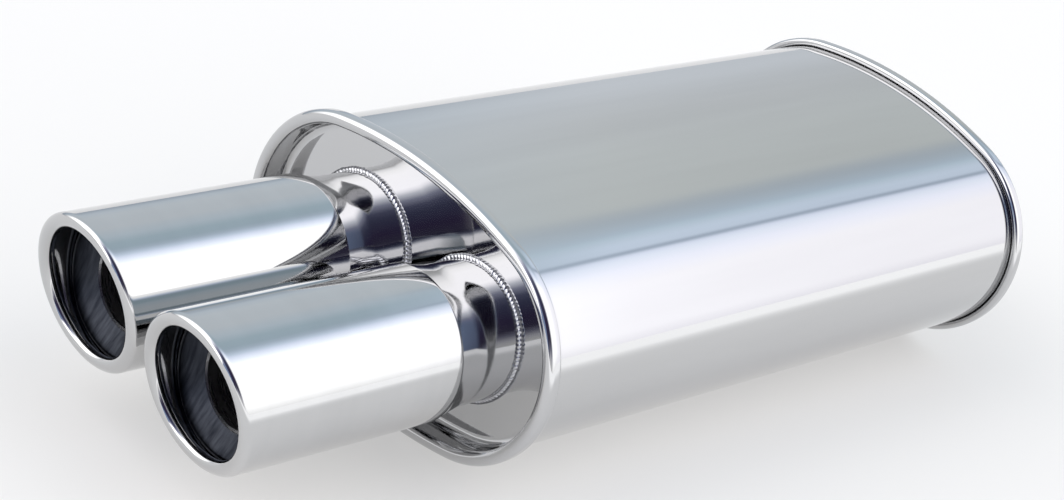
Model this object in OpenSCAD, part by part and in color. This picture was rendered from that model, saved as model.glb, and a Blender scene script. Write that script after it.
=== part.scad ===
// Twin-outlet oval exhaust muffler of polished stainless sheet.
// The body is a four-arc oval shell with a pressed cap locked into a folded rim at each end.
// One slip-on inlet pipe feeds a perforated core, which opens into a chamber between two
// baffles. Two perforated cores lead from the chamber to two outlet pipes, each of which ends
// in a funnel inside a slant-cut tip with a curled lip.
// X runs along the muffler: the inlet's mouth is at the origin and faces +X, the tips face -X.

/* [Body] */
// Distance from the body's centre line to the centre of each round side
side_offset = 44.8; // [40:0.4:56]
// Radius of the round sides
side_r = 52; // [46:0.5:58]
// Height of the oval body, without its rims
body_h = 115.2; // [112:0.4:150]
// Length of the body over its two rims
body_l = 355.6; // [320:0.4:460]
// Thickness of the shell's sheet
shell_t = 1.2; // [0.9:0.1:1.5]
// Width of the weld along the shell's lower side
seam_w = 3; // [2:0.5:5]

/* [Folded rims] */
// Thickness of the caps' sheet
cap_t = 1.2; // [0.9:0.1:1.5]
// Space left between folded sheets
fold_gap = 0.15; // [0.1:0.05:0.3]
// Width of the folded rim along the body
rim_w = 7.6; // [7:0.2:12]

/* [End caps] */
// Depth of the flat plate below the rim's face
cap_depth = 14.5; // [12:0.5:24]
// Radius of the bend between the plate and its wall, on the open side
cap_bend = 4; // [2:0.5:6]
// Length of the collars drawn inwards around the holes
collar_l = 7; // [5:0.5:12]

/* [Inlet] */
// Outside diameter of the inlet pipe and of the pipe that its socket slips over
pipe_d = 63.5; // [50.8:0.1:70]
// Difference between the socket's bore and that pipe
slip = 0.4; // [0.2:0.1:0.8]
// Depth of the socket
socket_l = 50; // [36:1:54]
// Distance from the socket's mouth to the rear rim
stub_l = 50; // [50:1:80]
// Wall of the inlet pipe
inlet_t = 1.5; // [1.2:0.1:2.5]

/* [Outlet pipes] */
// Outside diameter of the outlet pipes and their cores
out_d = 42.4; // [34:0.2:44]
// Wall of the outlet pipes
out_t = 1.5; // [1.2:0.1:2]
// Distance between the two outlets' axes
out_spacing = 75.8; // [74:0.2:88]
// Drop of the outlets below the body's axis
out_drop = 1.5; // [0:0.5:4]
// Thickness of the funnels' sheet
funnel_t = 1.2; // [0.9:0.1:1.5]
// Depth of the funnel's rim behind the middle of the mouth
funnel_rim = 17; // [16.5:0.5:30]
// Length of the funnel from its rim to the outlet pipe
funnel_l = 7; // [5:0.5:14]

/* [Cores] */
// Wall of the perforated cores
core_t = 1.2; // [0.9:0.1:1.5]
// Diameter of the perforations
perf_d = 5; // [3:0.5:6]
// Distance between rows of perforations
perf_pitch = 13; // [10:0.5:20]
// Thickness of the steel wool around each core
wool_t = 4; // [2:0.5:6]
// Length of the open chamber between the baffles
chamber_l = 66; // [40:1:90]
// Thickness of the baffles' sheet
baffle_t = 1.2; // [0.9:0.1:1.5]
// Width of the baffles' flange
flange_w = 14; // [10:1:20]

/* [Necks and tips] */
// Outside diameter of the necks at the front cap
neck_d = 63; // [58:0.5:66]
// Wall of the necks
neck_t = 1.5; // [1.2:0.1:2]
// Depth inside the front rim at which each neck starts to widen towards its tip
flare_inset = 8.5; // [3:0.5:10]
// Distance from the front rim to the back of the tips
tip_gap = 23; // [16:0.5:40]
// Leg of the weld around each neck and around the inlet
weld_leg = 2; // [1.6:0.2:4]
// Outside diameter of the tips
tip_d = 70; // [68:0.5:73]
// Wall of the tips
tip_t = 1.3; // [1:0.1:1.6]
// Length of the tips, along their middle line
tip_l = 116.5; // [90:0.5:160]
// Slant of the mouths, with the top edge standing further out
tip_slant = 14; // [0:1:25]
// Outside radius of the curled lip
lip_r = 3.5; // [3:0.1:4.5]
// Turn of the curl
lip_turn = 270; // [200:10:290]
// Radius of the rounded edge at the back of each tip
back_edge_r = 1; // [0.4:0.1:1]

/* [Hidden] */

// Space left between pipes and the collars or seats that hold them
fit = 0.1;
// Space left between packing and what it lies against
soft_gap = 0.5;
// Overlap of a tool with what it cuts
cut = 1;
// Length over which each core is held inside its pipe
lap = 16;
// Length of each core from a baffle's face to its open end
core_end = 10;
// Bend where a collar is drawn out of a sheet, on the inner side
draw_bend = 1;
// Bend between a baffle and its flange, on the inner side
baffle_bend = 2;
// Bend at the funnels' rims, on the outer side
rim_bend = 2;
// Length of the funnels' flange and collar behind the hole
funnel_flange = 6;
// Length of the seat between each tip and its neck
seat_l = 9;
// Length of the step behind the socket, where the expanded pipe narrows again
step_l = 4;
// Length of the pipes past the collars of the caps, inside the body
pipe_inset = 8;
// Steps of the bend at a funnel's rim
arc_steps = 8;
// Angles between facets where a curve is drawn with facets
$fa = 3;
$fs = 0.5;

// The oval: side arcs about (+-side_offset, 0) and crown arcs about (0, -+crown_drop)
half_h = body_h / 2;
crown_r = (pow(side_offset, 2) + pow(half_h, 2) - pow(side_r, 2)) / (2 * (half_h - side_r));
crown_drop = crown_r - half_h;
join_a = atan2(crown_drop, side_offset);

// Radii of the folds, about one centre that both sheets share, and the curl that ends the cap
fold_in = fold_gap + cap_t / 2;
shell_fold = fold_in + shell_t;
cap_fold = shell_fold + fold_gap + cap_t;
fold_c = [fold_in, cap_fold];
curl_r = fold_gap + cap_t + shell_t / 2;
curl_c = [fold_in + cap_fold - curl_r, rim_w - curl_r];

socket_r = (pipe_d + slip) / 2;
inlet_r = socket_r + inlet_t;
pipe_r = pipe_d / 2;
core_r = pipe_r - inlet_t - fit;
out_r = out_d / 2;
out_core_r = out_r - out_t - fit;
neck_r = neck_d / 2;
tip_r = tip_d / 2;
neck_end_r = tip_r - tip_t - fit;

// Where things lie along X
x_rear = -stub_l;
x_front = x_rear - body_l;
x_rear_plate = x_rear - cap_depth;
x_front_plate = x_front + cap_depth;
x_mid = (x_rear + x_front) / 2;
x_rear_baffle = x_mid + chamber_l / 2;
x_front_baffle = x_mid - chamber_l / 2;
x_inlet_end = x_rear_plate - cap_t - collar_l - pipe_inset;
x_outlet_end = x_front_plate + cap_t + collar_l + pipe_inset;
x_tip_back = x_front - tip_gap;
x_mouth = x_tip_back - tip_l;
x_hole = x_mouth + funnel_rim + funnel_l;

function side_y(side) = side * out_spacing / 2;

// Turns a shape drawn along +Z so that it lies along +X, with its own X and Y as Y and Z
module along_x() {
  rotate([90, 0, 90]) children();
}

// Starts a shape at x and lets it run towards +X, on the axis y, z
module forward(x, y = 0, z = 0) {
  translate([x, y, z]) along_x() children();
}

// Starts a shape at x and lets it run towards -X, on the axis y, z
module backward(x, y = 0, z = 0) {
  translate([x, y, z]) mirror([1, 0, 0]) along_x() children();
}

module tube(r, t, l) {
  difference() {
    cylinder(r = r, h = l);
    translate([0, 0, -cut]) cylinder(r = r - t, h = l + 2 * cut);
  }
}

// The part of the section above or below the line between the side arcs' centres
module crown_wedge(s) {
  reach = 2 * side_r;
  edge = [side_offset, 0] + reach * [cos(join_a), sin(join_a)];
  translate([0, 0, -2 * cut]) linear_extrude(body_l + 4 * cut) polygon([
    [-side_offset, 0], [side_offset, 0], [edge[0], s * edge[1]], [-edge[0], s * edge[1]]
  ]);
}

// Sweeps a half profile around the oval. The profile is filled from its Y axis outwards, $r is
// the distance from that axis to the shell's outer face, and its Y runs along the body
module oval_solid() {
  for (s = [-1, 1]) {
    let ($r = side_r) translate([s * side_offset, 0, 0]) rotate_extrude() children();
    let ($r = crown_r) intersection() {
      translate([0, -s * crown_drop, 0]) rotate_extrude($fa = 1) children();
      crown_wedge(s);
    }
  }
}

// A filled band of the half profile, out to u past the shell's outer face, from z0 to z1
module band(u, z0, z1) {
  translate([0, z0]) square([$r + u, z1 - z0]);
}

// A filled band whose edge at z1 is rounded
module round_band(u, z0, z1, r) {
  band(u, z0, z1 - r);
  band(u - r, z0, z1);
  translate([$r + u - r, z1 - r]) circle(r);
}

// What lies inside the outer face of a fold of radius r, down to z1
module within_fold(r, z1) {
  translate([$r, 0] + fold_c) circle(r);
  band(fold_c[0], fold_c[1] - r, z1);
  band(fold_c[0] + r, fold_c[1], z1);
}

// What lies between the body's axis and the inner leg of a fold of radius r, down to z1
module before_fold(r, z1) {
  band(fold_c[0] - r, fold_c[1] - cut, z1);
  difference() {
    band(fold_c[0], -cut, fold_c[1]);
    translate([$r, 0] + fold_c) circle(r);
  }
}

// What lies between the body's axis and the outer half of a curl of radius r
module within_curl(r) {
  translate([$r, 0] + curl_c) circle(r);
  band(curl_c[0], curl_c[1], curl_c[1] + r);
}

// What lies between the body's axis and the inner half of a curl of radius r, down to z1
module before_curl(r, z1) {
  difference() {
    band(curl_c[0], curl_c[1], z1);
    translate([$r, 0] + curl_c) circle(r);
  }
}

// Draws a half profile at both ends of the body, where the halves overlap in the middle
module both_ends() {
  children();
  translate([0, body_l]) mirror([0, 1]) children();
}

module shell_solid() {
  oval_solid() both_ends() {
    within_fold(shell_fold, curl_c[1]);
    band(0, fold_c[1], body_l / 2 + cut);
  }
}

// The weld along the shell's lower side, ground away where the rims are folded
module shell_seam() {
  rise = 0.4;
  r = (pow(seam_w / 2, 2) + pow(rise, 2)) / (2 * rise);
  intersection() {
    translate([0, r - rise - half_h, 2 * rim_w]) cylinder(r = r, h = body_l - 4 * rim_w);
    translate([-seam_w, -half_h - cut, 0]) cube([2 * seam_w, cut + shell_t / 2, body_l]);
  }
}

module body_shell() {
  color("silver") forward(x_front) {
    difference() {
      shell_solid();
      oval_solid() both_ends() before_fold(shell_fold, body_l / 2 + cut);
      difference() {
        oval_solid() both_ends() within_fold(fold_in, rim_w);
        oval_solid() both_ends() before_fold(fold_in, body_l / 2 + cut);
      }
    }
    shell_seam();
  }
}

// The space inside a cap's folded rim, which the shell's fold fills
module rim_space() {
  space_r = shell_fold + fold_gap;
  curl_in = curl_r - cap_t;
  difference() {
    union() {
      difference() {
        oval_solid() {
          within_fold(space_r, curl_c[1]);
          within_curl(curl_in);
        }
        oval_solid() {
          band(fold_gap + cap_t, fold_c[1] + fold_gap, curl_c[1]);
          before_curl(curl_in, rim_w);
        }
      }
      oval_solid() {
        band(fold_gap, fold_c[1], rim_w + cut);
        before_curl(curl_r, rim_w + cut);
      }
    }
    oval_solid() before_fold(space_r, rim_w + 2 * cut);
  }
}

// A pressed cap: its rim's face is at 0 and its plate's outer face at cap_depth
module cap_blank() {
  difference() {
    oval_solid() {
      within_fold(cap_fold, curl_c[1]);
      within_curl(curl_r);
      round_band(fold_c[0] - cap_fold + cap_t, fold_c[1], cap_depth + cap_t, cap_bend + cap_t);
    }
    oval_solid() {
      before_fold(cap_fold, fold_c[1] + cut);
      round_band(fold_c[0] - cap_fold, fold_c[1], cap_depth, cap_bend);
    }
    rim_space();
  }
}

// A collar drawn through a sheet that lies from 0 to t, with its bore's radius r
module collar(r, t, l) {
  c = [r + t + draw_bend, t + draw_bend];
  rotate_extrude() {
    intersection() {
      translate([r, 0]) square(t + draw_bend);
      difference() {
        translate(c) circle(draw_bend + t);
        translate(c) circle(draw_bend);
      }
    }
    translate([r, c[1]]) square([t, l - draw_bend]);
    translate([c[0], 0]) square([cut, t]);
  }
}

// Cuts the hole that such a collar fills
module collar_cut(r, t) {
  translate([0, 0, -cut]) cylinder(r = r + t + draw_bend, h = t + 2 * cut);
}

module front_cap() {
  color("silver") forward(x_front) {
    difference() {
      cap_blank();
      for (s = [-1, 1]) translate([side_y(s), -out_drop, cap_depth]) collar_cut(out_r + fit, cap_t);
    }
    for (s = [-1, 1]) translate([side_y(s), -out_drop, cap_depth]) collar(out_r + fit, cap_t, collar_l);
  }
}

module rear_cap() {
  color("silver") backward(x_rear) {
    difference() {
      cap_blank();
      translate([0, 0, cap_depth]) collar_cut(pipe_r + fit, cap_t);
    }
    translate([0, 0, cap_depth]) collar(pipe_r + fit, cap_t, collar_l);
  }
}

// The inlet pipe, whose end is expanded into a socket
module inlet_pipe() {
  color("silver") backward(0) rotate_extrude() polygon([
    [socket_r, 0], [inlet_r, 0], [inlet_r, socket_l], [pipe_r, socket_l + step_l],
    [pipe_r, -x_inlet_end], [pipe_r - inlet_t, -x_inlet_end],
    [pipe_r - inlet_t, socket_l + step_l], [socket_r, socket_l]
  ]);
}

// A fillet weld around a pipe of radius r, which lies against a plate at 0
module ring_weld(r) {
  rotate_extrude() intersection() {
    translate([r, 0]) circle(weld_leg);
    translate([r + fit, 0]) square(weld_leg);
  }
}

module inlet_weld() {
  color("gray") forward(x_rear_plate) ring_weld(pipe_r);
}

// A perforated tube, with staggered rows of holes between z0 and z1
module core_tube(r, l, z0, z1) {
  rows = floor((z1 - z0) / perf_pitch);
  around = floor(2 * PI * r / perf_pitch);
  first = (z0 + z1 - rows * perf_pitch) / 2;
  difference() {
    tube(r, core_t, l);
    for (i = [0:rows], j = [0:around - 1])
      rotate([0, 0, (j + i % 2 / 2) * 360 / around])
        translate([r - 2 * core_t, 0, first + i * perf_pitch])
          rotate([0, 90, 0]) cylinder(d = perf_d, h = 3 * core_t);
  }
}

module inlet_core() {
  l = x_inlet_end + lap - x_rear_baffle + core_end;
  color("silver") backward(x_inlet_end + lap) core_tube(core_r, l, lap + perf_pitch, l - core_end - perf_pitch);
}

module inlet_wool() {
  l = x_inlet_end - x_rear_baffle - 2 * soft_gap;
  color("gray") forward(x_rear_baffle + soft_gap) tube(core_r + fit + wool_t, wool_t, l);
}

module inlet_packing() {
  l = x_rear_plate - cap_t - x_rear_baffle - 2 * soft_gap;
  color("khaki") forward(x_rear_baffle + soft_gap) {
    difference() {
      oval_solid() band(-shell_t - soft_gap, 0, l);
      translate([0, 0, -cut]) cylinder(r = core_r + fit + wool_t + soft_gap, h = l + 2 * cut);
    }
  }
}

// A pressed baffle: its flange's edge is at 0 and its plate's far face at flange_w
module baffle_blank() {
  u = -shell_t - fit;
  difference() {
    oval_solid() round_band(u, 0, flange_w, baffle_bend + baffle_t);
    oval_solid() {
      band(u - baffle_t, -cut, baffle_bend);
      round_band(u - baffle_t, 0, flange_w - baffle_t, baffle_bend);
    }
  }
}

module rear_baffle() {
  color("silver") forward(x_rear_baffle - flange_w) {
    difference() {
      baffle_blank();
      translate([0, 0, flange_w]) mirror([0, 0, 1]) collar_cut(core_r + fit, baffle_t);
    }
    translate([0, 0, flange_w]) mirror([0, 0, 1]) collar(core_r + fit, baffle_t, collar_l);
  }
}

module front_baffle() {
  r = out_core_r + fit;
  color("silver") backward(x_front_baffle + flange_w) {
    difference() {
      baffle_blank();
      for (s = [-1, 1])
        translate([side_y(s), -out_drop, flange_w]) mirror([0, 0, 1]) collar_cut(r, baffle_t);
    }
    for (s = [-1, 1])
      translate([side_y(s), -out_drop, flange_w]) mirror([0, 0, 1]) collar(r, baffle_t, collar_l);
  }
}

module outlet_packing() {
  l = x_front_baffle - x_front_plate - cap_t - 2 * soft_gap;
  r = out_core_r + fit + wool_t + soft_gap;
  color("khaki") forward(x_front_plate + cap_t + soft_gap) {
    difference() {
      oval_solid() band(-shell_t - soft_gap, 0, l);
      for (s = [-1, 1])
        translate([side_y(s), -out_drop, -cut]) cylinder(r = r, h = l + 2 * cut);
    }
  }
}

module outlet_core(s) {
  l = x_front_baffle + core_end - x_outlet_end + lap;
  color("silver") forward(x_outlet_end - lap, side_y(s), -out_drop)
    core_tube(out_core_r, l, lap + perf_pitch, l - core_end - perf_pitch);
}

module outlet_wool(s) {
  l = x_front_baffle - x_outlet_end - 2 * soft_gap;
  color("gray") forward(x_outlet_end + soft_gap, side_y(s), -out_drop)
    tube(out_core_r + fit + wool_t, wool_t, l);
}

module outlet_pipe(s) {
  color("silver") backward(x_outlet_end, side_y(s), -out_drop) tube(out_r, out_t, x_outlet_end - x_hole);
}

// Points along an arc about c, from angle a0 to a1
function arc(c, r, a0, a1) =
  [for (i = [0:arc_steps]) let (a = a0 + (a1 - a0) * i / arc_steps) c + r * [cos(a), sin(a)]];

// A funnel's half section: the plane of its hole is at 0, and its rim is towards +Y
module funnel_section() {
  hole_r = out_r + fit;
  rim_r = tip_r - tip_t - fit;
  cone_a = atan2(funnel_l, rim_r - hole_r);
  c = [rim_r - rim_bend, (rim_r - rim_bend - hole_r) * tan(cone_a) - rim_bend / cos(cone_a)];
  polygon(concat(
    [[hole_r, -funnel_flange], [hole_r, 0]],
    arc(c, rim_bend, 90 + cone_a, 0),
    [[rim_r, -funnel_flange], [rim_r - funnel_t, -funnel_flange]],
    arc(c, rim_bend - funnel_t, 0, 90 + cone_a),
    [[hole_r + funnel_t, funnel_t * (tan(cone_a) - 1 / cos(cone_a))]],
    [[hole_r + funnel_t, -funnel_flange]]
  ));
}

module funnel(s) {
  color("silver") backward(x_hole, side_y(s), -out_drop) rotate_extrude() funnel_section();
}

// A neck widens along an arc from the plate to the tip, which slides over its end
module neck(s) {
  flare_l = tip_gap + flare_inset;
  flare_a = 2 * atan2(neck_end_r - neck_r, flare_l);
  flare_r = flare_l / sin(flare_a);
  c = [neck_r + flare_r, flare_inset];
  color("silver") forward(x_front, side_y(s), -out_drop) {
    rotate_extrude() polygon(concat(
      [[neck_r, cap_depth]],
      arc(c, flare_r, 180, 180 + flare_a),
      [[neck_end_r, -tip_gap - seat_l], [neck_end_r - neck_t, -tip_gap - seat_l]],
      arc(c, flare_r + neck_t, 180 + flare_a, 180),
      [[neck_r - neck_t, cap_depth]]
    ));
  }
}

module neck_weld(s) {
  color("gray") backward(x_front_plate, side_y(s), -out_drop) ring_weld(neck_r);
}

// Slants a shape that is drawn along +Z, so that what lies higher stands further out
module slant() {
  multmatrix([[1, 0, 0, 0], [0, 1, 0, 0], [0, tan(tip_slant), 1, 0]]) children();
}

// The wall of a tip out to l, open at the back, where its outer edge is rounded
module tip_wall(l) {
  rotate_extrude() difference() {
    union() {
      translate([0, back_edge_r]) square([tip_r, l - back_edge_r]);
      square([tip_r - back_edge_r, l]);
      translate([tip_r - back_edge_r, back_edge_r]) circle(back_edge_r);
    }
    translate([0, -cut]) square([tip_r - tip_t, l + 2 * cut]);
  }
}

// The curled lip, drawn with the plane where the curl starts at 0
module lip() {
  c = [tip_r - lip_r, 0];
  reach = 2 * lip_r;
  rotate_extrude() translate(c) difference() {
    circle(lip_r);
    circle(lip_r - tip_t);
    polygon([[0, 0], reach * [cos(lip_turn), sin(lip_turn)], reach * [1, -1], [reach, 0]]);
  }
}

module tip(s) {
  curl_z = tip_l - lip_r;
  color("silver") backward(x_tip_back, side_y(s), -out_drop) {
    intersection() {
      tip_wall(tip_l + tip_r);
      translate([0, 0, curl_z]) slant() mirror([0, 0, 1]) cylinder(r = 2 * tip_r, h = 2 * tip_l);
    }
    translate([0, 0, curl_z]) slant() lip();
  }
}

module left_core() outlet_core(-1);
module right_core() outlet_core(1);
module left_wool() outlet_wool(-1);
module right_wool() outlet_wool(1);
module left_pipe() outlet_pipe(-1);
module right_pipe() outlet_pipe(1);
module left_funnel() funnel(-1);
module right_funnel() funnel(1);
module left_neck() neck(-1);
module right_neck() neck(1);
module left_neck_weld() neck_weld(-1);
module right_neck_weld() neck_weld(1);
module left_tip() tip(-1);
module right_tip() tip(1);

body_shell();
front_cap();
rear_cap();
inlet_pipe();
inlet_weld();
inlet_core();
inlet_wool();
inlet_packing();
rear_baffle();
front_baffle();
outlet_packing();
left_core();
right_core();
left_wool();
right_wool();
left_pipe();
right_pipe();
left_funnel();
right_funnel();
left_neck();
right_neck();
left_neck_weld();
right_neck_weld();
left_tip();
right_tip();
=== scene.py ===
"""Twin-outlet oval exhaust muffler of polished stainless sheet, dressed over its CAD frame."""
import math
import random

import bpy
from mathutils import Matrix, Vector
from mathutils.geometry import tessellate_polygon


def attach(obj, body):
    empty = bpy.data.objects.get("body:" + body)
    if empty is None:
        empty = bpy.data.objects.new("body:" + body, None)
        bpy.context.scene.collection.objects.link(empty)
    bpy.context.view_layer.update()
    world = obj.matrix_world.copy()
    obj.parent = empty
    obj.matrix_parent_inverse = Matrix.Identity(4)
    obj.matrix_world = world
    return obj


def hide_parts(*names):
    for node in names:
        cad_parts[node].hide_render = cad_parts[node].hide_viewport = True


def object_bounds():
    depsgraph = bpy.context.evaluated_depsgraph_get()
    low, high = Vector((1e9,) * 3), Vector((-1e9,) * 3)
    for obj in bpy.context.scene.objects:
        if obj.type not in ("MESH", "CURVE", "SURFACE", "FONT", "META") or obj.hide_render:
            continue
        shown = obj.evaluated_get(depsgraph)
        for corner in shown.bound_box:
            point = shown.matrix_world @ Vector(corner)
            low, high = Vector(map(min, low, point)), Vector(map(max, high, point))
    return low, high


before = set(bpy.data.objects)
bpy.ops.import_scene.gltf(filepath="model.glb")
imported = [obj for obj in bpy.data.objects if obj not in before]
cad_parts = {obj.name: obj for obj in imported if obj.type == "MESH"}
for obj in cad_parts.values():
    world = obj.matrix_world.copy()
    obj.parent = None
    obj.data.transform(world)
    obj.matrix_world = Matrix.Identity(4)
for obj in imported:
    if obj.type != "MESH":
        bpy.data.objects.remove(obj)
cad_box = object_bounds()

# Sizes in millimetres. X = 0 is the inlet's mouth, and the tips face -X.
MM = 0.001

# Body: an oval of two round sides and two flatter crowns
SIDE_OFFSET, SIDE_R, HALF_H = 44.8, 52.0, 57.6
CROWN_R = (SIDE_OFFSET ** 2 + HALF_H ** 2 - SIDE_R ** 2) / (2 * (HALF_H - SIDE_R))
CROWN_DROP = CROWN_R - HALF_H
JOIN_A = math.atan2(CROWN_DROP, SIDE_OFFSET)
BODY_L, STUB_L = 355.6, 50.0

# Sheets, folded rims and caps
SHEET, GAP = 1.2, 0.15
RIM_W, CAP_DEPTH, CAP_BEND = 7.6, 14.5, 4.0
COLLAR_L, DRAW_BEND, FIT = 7.0, 1.0, 0.1

# Pipes
PIPE_R, SOCKET_R, SOCKET_L, STEP_L, INLET_T = 31.75, 31.95, 50.0, 4.0, 1.5
OUT_R, OUT_T = 21.2, 1.5
OUT_Y, OUT_Z = 37.9, -1.5
PIPE_INSET = 8.0

# Tips, necks and their welds
TIP_GAP, TIP_R, TIP_T, TIP_L, SLANT = 23.0, 35.0, 1.3, 116.5, math.radians(14)
LIP_R, LIP_TURN, BACK_EDGE_R, BACK_BEVEL, SEAT_L = 3.5, 270, 0.2, 2.0, 9.0
NECK_R, NECK_T = 31.5, 1.5
NECK_END_R = TIP_R - TIP_T - FIT
# Stations of a neck's flare: depth inside the front rim's plane, and the lean there in degrees
FLARE = ((8.5, 0), (-4, 2.2), (-8, 6.5), (-13.5, 10.6), (-TIP_GAP, 12.2))
WELD_LEG = 2.0

# Funnels
FUNNEL_RIM, FUNNEL_L, FUNNEL_T, FUNNEL_FLANGE, RIM_BEND = 17.0, 7.0, 1.2, 6.0, 2.0

# Places along X
X_REAR = -STUB_L
X_FRONT = X_REAR - BODY_L
X_TIP_BACK = X_FRONT - TIP_GAP
X_MOUTH = X_TIP_BACK - TIP_L
X_HOLE = X_MOUTH + FUNNEL_RIM + FUNNEL_L
X_OUTLET_END = X_FRONT + CAP_DEPTH + SHEET + COLLAR_L + PIPE_INSET
X_INLET_END = X_REAR - CAP_DEPTH - SHEET - COLLAR_L - PIPE_INSET

# A ring of points this far from a bend keeps the bend's shading off the straight sheet
HOLD = 1.0

# Radii of the folded rim, about the centre FOLD that both sheets share, and of the cap's curl
FOLD_IN = GAP + SHEET / 2
SHELL_FOLD = FOLD_IN + SHEET
CAP_FOLD = SHELL_FOLD + GAP + SHEET
FOLD = (FOLD_IN, CAP_FOLD)
CURL_R = GAP + SHEET * 1.5
CURL = (FOLD_IN + CAP_FOLD - CURL_R, RIM_W - CURL_R)

# The photograph's width and its camera's focal length in pixels, and the camera's sensor in millimetres
PHOTO_W, FOCAL_PX, SENSOR_W = 1064, 2573.9, 36.0


# Camera
def make_camera():
    """The photograph's camera, fitted to the object's rims and tips."""
    azimuth, elevation, roll = math.radians(-52.63), math.radians(27.22), math.radians(18.7)
    distance, target = 1214.6, Vector((102.3 + X_FRONT, 10.0, -5.63))
    back = Vector((math.sin(azimuth) * math.cos(elevation),
                   -math.cos(azimuth) * math.cos(elevation), math.sin(elevation)))
    right = (-back).cross(Vector((0, 0, 1))).normalized()
    up = right.cross(-back)
    side = right * math.cos(roll) + up * math.sin(roll)
    top = -right * math.sin(roll) + up * math.cos(roll)
    turn = Matrix((side, top, back)).transposed().to_4x4()
    data = bpy.data.cameras.new("camera")
    data.sensor_fit, data.sensor_width = "HORIZONTAL", SENSOR_W
    data.lens = FOCAL_PX / PHOTO_W * SENSOR_W
    data.clip_start, data.clip_end = 0.01, 100.0
    camera = bpy.data.objects.new("camera", data)
    bpy.context.scene.collection.objects.link(camera)
    camera.matrix_world = Matrix.Translation((target + back * distance) * MM) @ turn
    bpy.context.scene.camera = camera


make_camera()


# Node helpers
class Nodes:
    """A short way to write a node tree."""

    def __init__(self, tree):
        self.tree = tree
        tree.nodes.clear()

    def put(self, socket, value):
        """Links an output to a socket, or sets the socket's own value."""
        if isinstance(value, bpy.types.NodeSocket):
            self.tree.links.new(value, socket)
        else:
            socket.default_value = value

    def add(self, kind, inputs=None, **settings):
        node = self.tree.nodes.new(kind)
        for key, value in settings.items():
            setattr(node, key, value)
        for key, value in (inputs or {}).items():
            self.put(node.inputs[key], value)
        return node

    def object_place(self):
        return self.add("ShaderNodeTexCoord").outputs["Object"]

    def math(self, operation, *values):
        return self.add("ShaderNodeMath", dict(enumerate(values)), operation=operation).outputs[0]

    def remap(self, value, from_min, from_max, to_min=0.0, to_max=1.0, **settings):
        return self.add("ShaderNodeMapRange", {
            "Value": value, "From Min": from_min, "From Max": from_max, "To Min": to_min, "To Max": to_max,
        }, **settings).outputs[0]

    def ramp(self, factor, stops):
        node = self.add("ShaderNodeValToRGB", {"Fac": factor})
        elements = node.color_ramp.elements
        while len(elements) < len(stops):
            elements.new(0.5)
        for element, (position, colour) in zip(elements, stops):
            element.position = position
            element.color = (*colour, 1)
        return node.outputs["Color"]

    def mix(self, factor, a, b, blend="MIX"):
        """A mix of two colours, which come as outputs or as plain tones."""
        node = self.add("ShaderNodeMix", data_type="RGBA", blend_type=blend)
        self.put(node.inputs[0], factor)
        for socket, colour in ((node.inputs[6], a), (node.inputs[7], b)):
            self.put(socket, (*colour, 1) if isinstance(colour, tuple) else colour)
        return node.outputs[2]

    def stretch(self, vector, scale):
        return self.add("ShaderNodeMapping", {"Vector": vector, "Scale": scale}).outputs[0]

    def noise(self, vector, scale, detail, output=0):
        inputs = {"Vector": vector, "Scale": scale, "Detail": detail}
        return self.add("ShaderNodeTexNoise", inputs).outputs[output]

    def bump(self, height, distance):
        inputs = {"Height": height, "Distance": distance, "Strength": 1.0}
        return self.add("ShaderNodeBump", inputs).outputs[0]

    def principled(self, inputs):
        """Ends the tree in a Principled shader."""
        shader = self.add("ShaderNodeBsdfPrincipled", inputs)
        self.add("ShaderNodeOutputMaterial", {"Surface": shader.outputs[0]})


def new_material(name):
    """A material and the helper for its empty node tree."""
    material = bpy.data.materials.new(name)
    material.use_nodes = True
    return material, Nodes(material.node_tree)


def grey(v):
    return (v, v, v)


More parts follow.
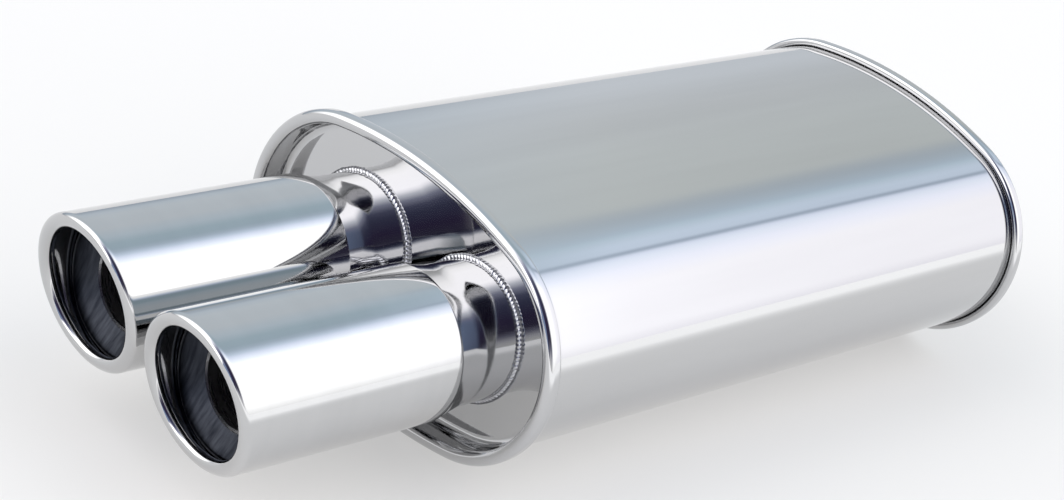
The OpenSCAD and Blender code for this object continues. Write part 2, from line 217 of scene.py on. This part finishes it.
# Light
def make_world():
    """A studio around the part, as bands of tone by the angle about the part's long axis."""
    world = bpy.data.worlds.new("studio")
    bpy.context.scene.world = world
    world.use_nodes = True
    n = Nodes(world.node_tree)
    direction = n.add("ShaderNodeTexCoord").outputs["Generated"]
    xyz = n.add("ShaderNodeSeparateXYZ", {"Vector": direction}).outputs
    angle = n.math("ARCTAN2", xyz["Z"], xyz["Y"])
    # 0 is straight out at +Y, 0.5 is straight out at -Y, and 0.25 is straight up
    turn = n.math("FRACT", n.math("DIVIDE", angle, 2 * math.pi))

    def bands(turn, pairs):
        """A ramp by angle in degrees, with its tones at a third, since a ramp's tones end at 1."""
        return n.ramp(turn, [(degrees / 360, tuple(c / 3 for c in colour)) for degrees, colour in pairs])

    # What the tips mirror, towards the inlet's end
    low = bands(turn, [
        (0, (0.42, 0.48, 0.55)), (5, (0.5, 0.57, 0.65)), (12, (0.64, 0.72, 0.8)),
        (24, (0.71, 0.775, 0.83)), (52, (0.71, 0.775, 0.83)), (68, (0.63, 0.735, 0.82)),
        (79, (0.50, 0.635, 0.72)), (88, (0.49, 0.62, 0.715)), (93, (0.58, 0.70, 0.83)),
        (98, (0.83, 0.97, 1.16)), (102, (1.16, 1.27, 1.52)), (108, (1.55, 1.65, 1.8)),
        (113, grey(1.95)), (165, grey(1.95)), (172, grey(1.75)), (180, grey(1.4)),
        (184, grey(1.2)), (350, grey(0.8)), (358, (0.42, 0.48, 0.55)),
    ])
    # What the body mirrors, further along: a blue panel between two dark edges stands overhead
    high = bands(turn, [
        (0, (0.72, 0.77, 0.83)), (12, (0.79, 0.84, 0.90)), (28, (0.75, 0.79, 0.82)),
        (44, (0.79, 0.84, 0.85)), (61, (0.77, 0.82, 0.82)), (64, (0.62, 0.70, 0.77)),
        (66, (0.63, 0.73, 0.82)), (69, (0.68, 0.82, 0.96)), (73, (0.77, 0.94, 1.09)),
        (78, (0.87, 1.02, 1.2)), (82, (0.92, 1.07, 1.27)), (89, (0.91, 1.05, 1.25)),
        (91.5, (0.60, 0.71, 0.86)), (93, (0.60, 0.71, 0.86)), (96, (1.19, 1.29, 1.53)),
        (100, (1.34, 1.44, 1.64)), (108, (1.52, 1.56, 1.76)), (124, (1.68, 1.66, 1.74)),
        (170, (1.68, 1.66, 1.74)), (180, (1.46, 1.44, 1.53)), (188, grey(1.3)), (350, grey(0.8)),
    ])
    # What lies beyond the tips, behind the camera: a light panel overhead, then a dark room.
    # The panel reaches up to 25 degrees further over where it is straight out from the tips.
    shift = n.remap(xyz["X"], -0.74, -0.9, 0.0, 25 / 360)
    near = bands(n.math("SUBTRACT", turn, shift), [
        (0, grey(0.8)), (5, grey(1.1)), (9, (1.8, 1.79, 1.8)), (20, (2.45, 2.42, 2.4)),
        (34, (2.75, 2.7, 2.72)), (68, (2.85, 2.8, 2.85)), (74, (2.4, 2.36, 2.45)),
        (81, (1.35, 1.38, 1.5)), (92, (0.45, 0.47, 0.62)), (104, (0.13, 0.14, 0.23)),
        (116, (0.07, 0.075, 0.14)), (140, (0.045, 0.035, 0.085)), (156, (0.055, 0.05, 0.09)),
        (164, (0.2, 0.2, 0.27)), (172, (0.6, 0.6, 0.65)), (178, grey(0.78)), (350, grey(0.78)),
    ])
    # The dark room is a dim blue straight out from the tips
    near = n.mix(n.remap(xyz["X"], -0.86, -0.93), near, (0.1, 0.13, 0.2), "LIGHTEN")
    far_share = n.remap(xyz["X"], 0.655, 0.73)
    side_share = n.remap(xyz["X"], -0.35, 0.0)
    colour = n.mix(side_share, near, n.mix(far_share, low, high))
    # The far end of the room is dimmer
    strength = n.remap(xyz["X"], 0.7, 0.8, 3.1, 2.75)
    background = n.add("ShaderNodeBackground", {"Color": colour, "Strength": strength})
    n.add("ShaderNodeOutputWorld", {"Surface": background.outputs[0]})


def make_floor():
    """A plain pale floor that keeps a soft shadow. It is sized in metres."""
    floor_z, reach = cad_box[0][2], 40.0
    corners = ((-reach, -reach), (reach, -reach), (reach, reach), (-reach, reach))
    mesh = bpy.data.meshes.new("floor")
    mesh.from_pydata([(x, y, floor_z) for x, y in corners], [], [(0, 1, 2, 3)])
    floor = bpy.data.objects.new("floor", mesh)
    bpy.context.scene.collection.objects.link(floor)
    material, n = new_material("floor_paint")
    across = n.add("ShaderNodeSeparateXYZ", {"Vector": n.object_place()}).outputs["Y"]
    # The floor's glow, a painted light, is stronger well out at the left side
    painted_glow = n.remap(across, -0.3, -0.7, 0.4, 0.95, interpolation_type="SMOOTHSTEP")
    # What the floor gives off is only seen, directly or in metal, and lights nothing else
    path = n.add("ShaderNodeLightPath").outputs
    mirrored = n.math("MAXIMUM", path["Is Glossy Ray"], path["Is Transmission Ray"])
    strength = n.math("MULTIPLY", painted_glow, n.math("MAXIMUM", path["Is Camera Ray"], mirrored))
    diffuse = n.add("ShaderNodeBsdfDiffuse", {"Color": (0.485, 0.475, 0.46, 1)})
    glow = n.add("ShaderNodeEmission", {"Color": (1, 1, 1, 1), "Strength": strength})
    both = n.add("ShaderNodeAddShader", {0: diffuse.outputs[0], 1: glow.outputs[0]})
    n.add("ShaderNodeOutputMaterial", {"Surface": both.outputs[0]})
    mesh.materials.append(material)


make_world()
make_floor()


# Materials
def polished(name, colour, roughness, waviness, grain):
    """Polished stainless sheet: slightly wavy, with a faint grain left by polishing."""
    material, n = new_material(name)
    position = n.object_place()
    stretched = n.stretch(position, grain)
    smudge, fine = n.noise(stretched, 6.0, 2.0), n.noise(stretched, 60.0, 3.0)
    dim, bright = (tuple(c * share for c in colour) for share in (0.95, 1.04))
    wave = n.noise(position, 14.0, 1.0)
    n.principled({
        "Base Color": n.mix(smudge, dim, bright), "Metallic": 1.0,
        "Roughness": n.remap(fine, 0.3, 0.7, roughness * 0.85, roughness * 1.15),
        "Normal": n.bump(wave, waviness),
    })
    return material


def painted_shade_sheet():
    """Sheet with painted shade for the depth inside the tip, and faint upright brush marks."""
    material, n = new_material("funnel_sheet")
    position = n.object_place()
    marks = n.noise(n.stretch(position, (3.0, 9.0, 0.8)), 60.0, 3.0)
    cloud = n.noise(position, 45.0, 2.0)
    both = n.math("MULTIPLY_ADD", marks, 0.75, n.math("MULTIPLY", cloud, 0.25))
    n.principled({
        # The near-black tones are painted shade for the depth inside the tip
        "Base Color": n.ramp(both, [(0.35, (0.015, 0.017, 0.023)), (0.7, (0.055, 0.06, 0.073))]),
        "Metallic": 1.0, "Roughness": n.remap(marks, 0.0, 1.0, 0.22, 0.42),
    })
    return material


def matted(name, dark, light, strands, depth, metallic, roughness):
    """Matted strands: streaks of tone along the strands, with a rough raised surface."""
    material, n = new_material(name)
    position = n.object_place()
    moved = n.mix(0.04, position, n.noise(position, 40.0, 4.0, "Color"))
    fine = n.noise(n.stretch(moved, (1.0, 6.0, 6.0)), strands, 6.0)
    n.principled({
        "Base Color": n.ramp(fine, [(0.3, dark), (0.7, light)]), "Metallic": metallic,
        "Roughness": roughness, "Normal": n.bump(fine, depth),
    })
    return material


BODY_METAL = polished("polished_body", (0.56, 0.562, 0.566), 0.06, 0.0001, (1, 14, 14))
CAP_METAL = polished("polished_cap", (0.545, 0.547, 0.555), 0.05, 0.0002, (1, 1, 1))
TIP_METAL = polished("polished_tip", (0.56, 0.562, 0.566), 0.05, 0.00002, (14, 1, 1))
WELD_METAL = polished("bright_weld", (0.5, 0.505, 0.53), 0.2, 0.0, (1, 1, 1))
MILL_METAL = polished("mill_tube", (0.5, 0.5, 0.51), 0.28, 0.0, (12, 1, 1))
FUNNEL_METAL = painted_shade_sheet()
STEEL_WOOL = matted("steel_wool", grey(0.12), grey(0.5), 260.0, 0.0008, 0.9, 0.45)
GLASS_FIBRE = matted("glass_fibre", (0.55, 0.48, 0.33), (0.86, 0.82, 0.7), 90.0, 0.0012, 0.0, 0.85)


# Mesh helpers
def arc(centre, r, a0, a1, steps):
    """Points on an arc, from a0 to a1 degrees."""
    return [(centre[0] + r * math.cos(math.radians(a0 + (a1 - a0) * i / steps)),
             centre[1] + r * math.sin(math.radians(a0 + (a1 - a0) * i / steps)))
            for i in range(steps + 1)]


def piece(name, verts, faces, material, replaces=(), sharp=35):
    """A smooth piece on the body, from points in millimetres. Edges over sharp degrees stay sharp."""
    mesh = bpy.data.meshes.new(name)
    mesh.from_pydata([tuple(c * MM for c in v) for v in verts], [], faces)
    mesh.validate()
    mesh.materials.append(material)
    mesh.shade_smooth()
    mesh.set_sharp_from_angle(angle=math.radians(sharp))
    obj = bpy.data.objects.new(name, mesh)
    bpy.context.scene.collection.objects.link(obj)
    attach(obj, "root")
    if replaces:
        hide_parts(*replaces)


def grid_faces(rows, columns, closed_rows, closed_columns, flip=False):
    """Quads over a grid of points that is stored row by row."""
    faces = []
    for i in range(rows if closed_rows else rows - 1):
        for j in range(columns if closed_columns else columns - 1):
            a, b = i * columns + j, i * columns + (j + 1) % columns
            c, d = (i + 1) % rows * columns + (j + 1) % columns, (i + 1) % rows * columns + j
            faces.append((a, b, c, d) if not flip else (d, c, b, a))
    return faces


def oval_points():
    """Centre, radius and direction for each step around the oval."""
    points = []
    join = math.degrees(JOIN_A)
    side_steps, crown_steps = 96, 64
    for centre, r, a0, a1, steps in (
            ((SIDE_OFFSET, 0), SIDE_R, -join, join, side_steps),
            ((0, -CROWN_DROP), CROWN_R, join, 180 - join, crown_steps),
            ((-SIDE_OFFSET, 0), SIDE_R, 180 - join, 180 + join, side_steps),
            ((0, CROWN_DROP), CROWN_R, 180 + join, 360 - join, crown_steps)):
        for i in range(steps):
            a = math.radians(a0 + (a1 - a0) * i / steps)
            points.append((centre, r, (math.cos(a), math.sin(a))))
    return points


OVAL = oval_points()


def sweep(profile, at, closed=True):
    """Points and faces of a section of (u, v), carried around the oval: u is outward, v along X."""
    verts = [(at(v), c[0] + (r + u) * d[0], c[1] + (r + u) * d[1]) for c, r, d in OVAL for u, v in profile]
    return verts, grid_faces(len(OVAL), len(profile), True, closed, flip=at(1) < at(0))


def lathe(profile, at, y, z, steps=160, slanted=(), closed=True):
    """Points and faces of a section of (r, w), turned about an axis along X.

    The points whose numbers are in slanted lean with the tips' mouths.
    """
    verts = []
    for i in range(steps):
        a = 2 * math.pi * i / steps
        for k, (r, w) in enumerate(profile):
            lean = math.tan(SLANT) * r * math.sin(a) if k in slanted else 0.0
            verts.append((at(w + lean), y + r * math.cos(a), z + r * math.sin(a)))
    return verts, grid_faces(steps, len(profile), True, closed, flip=at(1) < at(0))


def forward(x):
    """The place along X of a distance from x towards the inlet."""
    return lambda w: x + w


def backward(x):
    """The place along X of a distance from x towards the tips."""
    return lambda w: x - w


# Body
def make_shell():
    """The rolled shell, with each edge folded out and round the cap's edge."""
    # Depths of the rings of points along the straight sheet, from the rim's plane
    rings = (12, 40, 110)
    outside = arc(FOLD, FOLD_IN, 0, -180, 10) + [(0, v) for v in rings]
    inside = ([(-SHEET, v) for v in reversed(rings)] + arc(FOLD, SHELL_FOLD, -180, 0, 14)
              + [(FOLD_IN + SHELL_FOLD, CURL[1]), (2 * FOLD_IN, CURL[1])])

    def mirror(points):
        return [(u, BODY_L - v) for u, v in reversed(points)]

    profile = (outside + [(0, BODY_L / 2)] + mirror(outside)
               + mirror(inside) + [(-SHEET, BODY_L / 2)] + inside)
    verts, faces = sweep(profile, forward(X_FRONT))
    piece("shell", verts, faces, BODY_METAL, ["body_shell"])


def make_seam():
    """The weld along the shell's lower side: low overlapping ripples, ground away before each rim."""
    height, ripple_h, width, pitch, trail = 0.4, 0.12, 3.0, 2.2, 0.35
    sunk, ground_l = 0.15, 2
    start, end = 2 * RIM_W, BODY_L - 2 * RIM_W
    steps, across = 1200, 8
    verts = []
    for i in range(steps + 1):
        v = start + (end - start) * i / steps
        fade = min(1.0, (v - start) / ground_l, (end - v) / ground_l)
        for j in range(across + 1):
            t = 2 * j / across - 1
            ripple = ripple_h * math.sin(2 * math.pi * (v / pitch + trail * t * t)) * (1 - t * t)
            drop = fade * ((height - ripple_h) * (1 - t * t) + ripple) - sunk
            verts.append((X_FRONT + v, t * width / 2, -HALF_H - drop))
    piece("shell_seam_bead", verts, grid_faces(steps + 1, across + 1, False, False), WELD_METAL, sharp=80)


def cap_section():
    """The cap's section from its plate's outer face, over the rim to its hook, and back to the inner face."""
    wall = FOLD[0] - CAP_FOLD
    bend = (wall - CAP_BEND, CAP_DEPTH - CAP_BEND)
    outer = (arc(bend, CAP_BEND, 90, 0, 12) + [(wall, bend[1] - HOLD), (wall, FOLD[1] + HOLD)]
             + arc(FOLD, CAP_FOLD, -180, 0, 28) + arc(CURL, CURL_R, 0, 180, 16) + [(GAP, FOLD[1] + GAP)])
    inner = ([(GAP + SHEET, FOLD[1] + GAP)] + arc(CURL, CURL_R - SHEET, 180, 0, 10)
             + arc(FOLD, CAP_FOLD - SHEET, 0, -180, 20) + [(wall + SHEET, bend[1])]
             + arc(bend, CAP_BEND + SHEET, 0, 90, 12))
    return outer + inner


def collar_section(r):
    """A drawn collar's section as (r, w), from the plate's outer face to its inner face."""
    c = (r + SHEET + DRAW_BEND, SHEET + DRAW_BEND)
    section = ([(c[0], 0.0)] + arc(c, SHEET + DRAW_BEND, -90, -180, 8)[1:]
               + [(r, SHEET + COLLAR_L), (r + SHEET, SHEET + COLLAR_L)] + arc(c, DRAW_BEND, -180, -90, 6))
    return [(r, CAP_DEPTH + w) for r, w in section]


def make_cap(name, node, at, holes):
    """A pressed cap. holes are (y, z, radius) of the collars' bores."""
    profile = cap_section()
    verts, faces = sweep(profile, at, closed=False)

    def ring(start, rows, columns):
        return list(range(start, start + rows * columns, columns))

    # Rings of points around the plate's outer face and around its inner face
    plate = [[ring(0, len(OVAL), len(profile))], [ring(len(profile) - 1, len(OVAL), len(profile))]]
    steps = 128
    for y, z, r in holes:
        section = collar_section(r)
        start = len(verts)
        collar_verts, collar_faces = lathe(section, at, y, z, steps, closed=False)
        verts += collar_verts
        faces += [tuple(start + k for k in reversed(face)) for face in collar_faces]
        plate[0].append(ring(start, steps, len(section)))
        plate[1].append(ring(start + len(section) - 1, steps, len(section)))
    for rings, wanted in zip(plate, (-1, 1) if at(1) > at(0) else (1, -1)):
        flat = [k for loop in rings for k in loop]
        lines = [[Vector((verts[k][1], verts[k][2], 0)) for k in loop] for loop in rings]
        for tri in tessellate_polygon(lines):
            a, b, c = (flat[k] for k in tri)
            pa, pb, pc = (Vector(verts[k]) for k in (a, b, c))
            outward = (pb - pa).cross(pc - pa).x
            faces.append((a, b, c) if outward * wanted > 0 else (a, c, b))
    piece(name, verts, faces, CAP_METAL, [node], sharp=50)


make_shell()
make_seam()
make_cap("cap_front", "front_cap", forward(X_FRONT), [(s * OUT_Y, OUT_Z, OUT_R + FIT) for s in (-1, 1)])
make_cap("cap_rear", "rear_cap", backward(X_REAR), [(0, 0, PIPE_R + FIT)])


# Necks, tips and pipes
def make_weld(name, node, r, at, y, z):
    """A weld bead of overlapping ripples around a pipe of radius r, against a plate at 0."""
    pitch, trail, steps, across = 2.0, 0.35, 900, 12
    # The bead's share of its leg between the ripples, and a ripple's height, each with its random swing
    base, base_swing, ripple_h, ripple_swing = 0.85, 0.015, 0.3, 0.1
    count = round(2 * math.pi * (r + WELD_LEG / 2) / pitch)
    rng = random.Random(7)
    swing = [rng.uniform(-1, 1) for _ in range(count)]
    verts = []
    for i in range(steps):
        a = i / steps
        cos_a, sin_a = math.cos(2 * math.pi * a), math.sin(2 * math.pi * a)
        # The hand's pace varies slowly and quickly, so the ripples differ in length
        slow, quick = 0.3 * math.sin(6 * math.pi * a + 1), 0.2 * math.sin(22 * math.pi * a)
        for j in range(across + 1):
            b = math.radians(90 * j / across)
            # Each ripple is a crescent that trails behind the middle of the bead
            phase = a * count + trail * math.cos(2 * b - math.pi / 2) + slow + quick
            k = int(phase) % count
            crest = math.sin(math.pi * (phase - math.floor(phase))) ** 0.7
            size = WELD_LEG * (base + base_swing * swing[k]) + (ripple_h + ripple_swing * swing[k]) * crest
            reach = r + FIT + size * math.cos(b)
            verts.append((at(size * math.sin(b)), y + reach * cos_a, z + reach * sin_a))
        verts.append((at(0.0), y + (r + FIT) * cos_a, z + (r + FIT) * sin_a))
    faces = grid_faces(steps, across + 2, True, True, flip=at(1) > at(0))
    piece(name, verts, faces, WELD_METAL, [node], sharp=60)


def flare():
    """The neck's outer side as (r, w), from its round part to the tip's back edge."""
    points = [(NECK_R, FLARE[0][0])]
    for (w0, a0), (w1, a1) in zip(FLARE, FLARE[1:]):
        lean0, lean1 = math.radians(a0), math.radians(a1)
        r = (w0 - w1) / (math.sin(lean1) - math.sin(lean0))
        c = (points[-1][0] + r * math.cos(lean0), w0 + r * math.sin(lean0))
        points += arc(c, r, 180 + a0, 180 + a1, 12)[1:]
    return points


def make_neck(side, y):
    """A neck widens from the plate to the tip, which slides over its end."""
    end = -TIP_GAP - SEAT_L
    outer = flare()
    # The inner side, which is hidden, has a quarter of the outer side's points
    inner = [(r - NECK_T, w) for r, w in outer[::4]]
    profile = ([(NECK_R, CAP_DEPTH), (NECK_R, FLARE[0][0] + HOLD)] + outer
               + [(NECK_END_R, -TIP_GAP - BACK_BEVEL), (NECK_END_R, end), (NECK_END_R - NECK_T, end)]
               + inner[:0:-1] + [(NECK_R - NECK_T, CAP_DEPTH)])
    verts, faces = lathe(profile[::-1], forward(X_FRONT), y, OUT_Z)
    piece(side + "_neck_tube", verts, faces, CAP_METAL, [side + "_neck"], sharp=6)
    make_weld(side + "_neck_bead", side + "_neck_weld", NECK_R, backward(X_FRONT + CAP_DEPTH), y, OUT_Z)


def make_tip(side, y):
    """An open tube with a rounded back edge, whose slanted mouth is curled inwards."""
    curl = (TIP_R - LIP_R, TIP_L - LIP_R)
    # The wall is straight up to plain_l, and from there it leans into the slant of the mouth
    plain_l, lean_l = 50, curl[1] - 10
    back_out = (arc((TIP_R - BACK_EDGE_R, BACK_EDGE_R), BACK_EDGE_R, -90, 0, 8)[1:]
                + [(TIP_R, BACK_EDGE_R + HOLD), (TIP_R, plain_l)])
    front = ([(TIP_R, lean_l), (TIP_R, curl[1] - HOLD)] + arc(curl, LIP_R, 0, LIP_TURN, 40)
             + arc(curl, LIP_R - TIP_T, LIP_TURN, 0, 30)
             + [(TIP_R - TIP_T, curl[1] - HOLD), (TIP_R - TIP_T, lean_l)])
    back_in = [(TIP_R - TIP_T, plain_l), (TIP_R - TIP_T, BACK_BEVEL), (TIP_R - BACK_EDGE_R, 0)]
    slanted = range(len(back_out), len(back_out) + len(front))
    verts, faces = lathe(back_out + front + back_in, backward(X_TIP_BACK), y, OUT_Z, 240, slanted)
    piece(side + "_tip_tube", verts, faces, TIP_METAL, [side + "_tip"])


def make_funnel(side, y):
    """The dish inside a tip, from a flange on the tip's wall to a flange on the outlet pipe."""
    hole, rim = OUT_R + FIT, TIP_R - TIP_T - FIT
    a = math.atan2(FUNNEL_L, rim - hole)
    c = (rim - RIM_BEND, (rim - RIM_BEND - hole) * math.tan(a) - RIM_BEND / math.cos(a))
    lean = math.degrees(a)
    profile = ([(hole, -FUNNEL_FLANGE), (hole, 0)] + arc(c, RIM_BEND, 90 + lean, 0, 12)
               + [(rim, -FUNNEL_FLANGE), (rim - FUNNEL_T, -FUNNEL_FLANGE)]
               + arc(c, RIM_BEND - FUNNEL_T, 0, 90 + lean, 8)
               + [(hole + FUNNEL_T, FUNNEL_T * (math.tan(a) - 1 / math.cos(a))),
                  (hole + FUNNEL_T, -FUNNEL_FLANGE)])
    verts, faces = lathe(profile[::-1], backward(X_HOLE), y, OUT_Z)
    piece(side + "_funnel_dish", verts, faces, FUNNEL_METAL, [side + "_funnel"])


def make_pipe(name, node, section, at, y, z):
    verts, faces = lathe(section, at, y, z)
    piece(name, verts, faces, MILL_METAL, [node])


def make_outlet_pipe(side, y):
    length = X_OUTLET_END - X_HOLE
    section = [(OUT_R, 0), (OUT_R, length), (OUT_R - OUT_T, length), (OUT_R - OUT_T, 0)]
    make_pipe(side + "_outlet_pipe", side + "_pipe", section, backward(X_OUTLET_END), y, OUT_Z)


def make_inlet_pipe():
    """The inlet pipe, expanded at its mouth into a socket, with its weld at the rear cap."""
    section = [(SOCKET_R + INLET_T, 0), (SOCKET_R + INLET_T, SOCKET_L), (PIPE_R, SOCKET_L + STEP_L),
               (PIPE_R, -X_INLET_END), (PIPE_R - INLET_T, -X_INLET_END),
               (PIPE_R - INLET_T, SOCKET_L + STEP_L), (SOCKET_R, SOCKET_L), (SOCKET_R, 0)]
    make_pipe("inlet_tube", "inlet_pipe", section, backward(0), 0, 0)
    make_weld("inlet_bead", "inlet_weld", PIPE_R, forward(X_REAR - CAP_DEPTH), 0, 0)


for side, y in (("left", -OUT_Y), ("right", OUT_Y)):
    make_neck(side, y)
    make_tip(side, y)
    make_funnel(side, y)
    make_outlet_pipe(side, y)
make_inlet_pipe()


# The CAD nodes that stay
def finish_nodes(material, *names):
    for name in names:
        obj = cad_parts[name]
        obj.data.materials.clear()
        obj.data.materials.append(material)


finish_nodes(MILL_METAL, "inlet_core", "left_core", "right_core", "rear_baffle", "front_baffle")
finish_nodes(STEEL_WOOL, "inlet_wool", "left_wool", "right_wool")
finish_nodes(GLASS_FIBRE, "inlet_packing", "outlet_packing")

bpy.context.scene.view_settings.view_transform = "Standard"
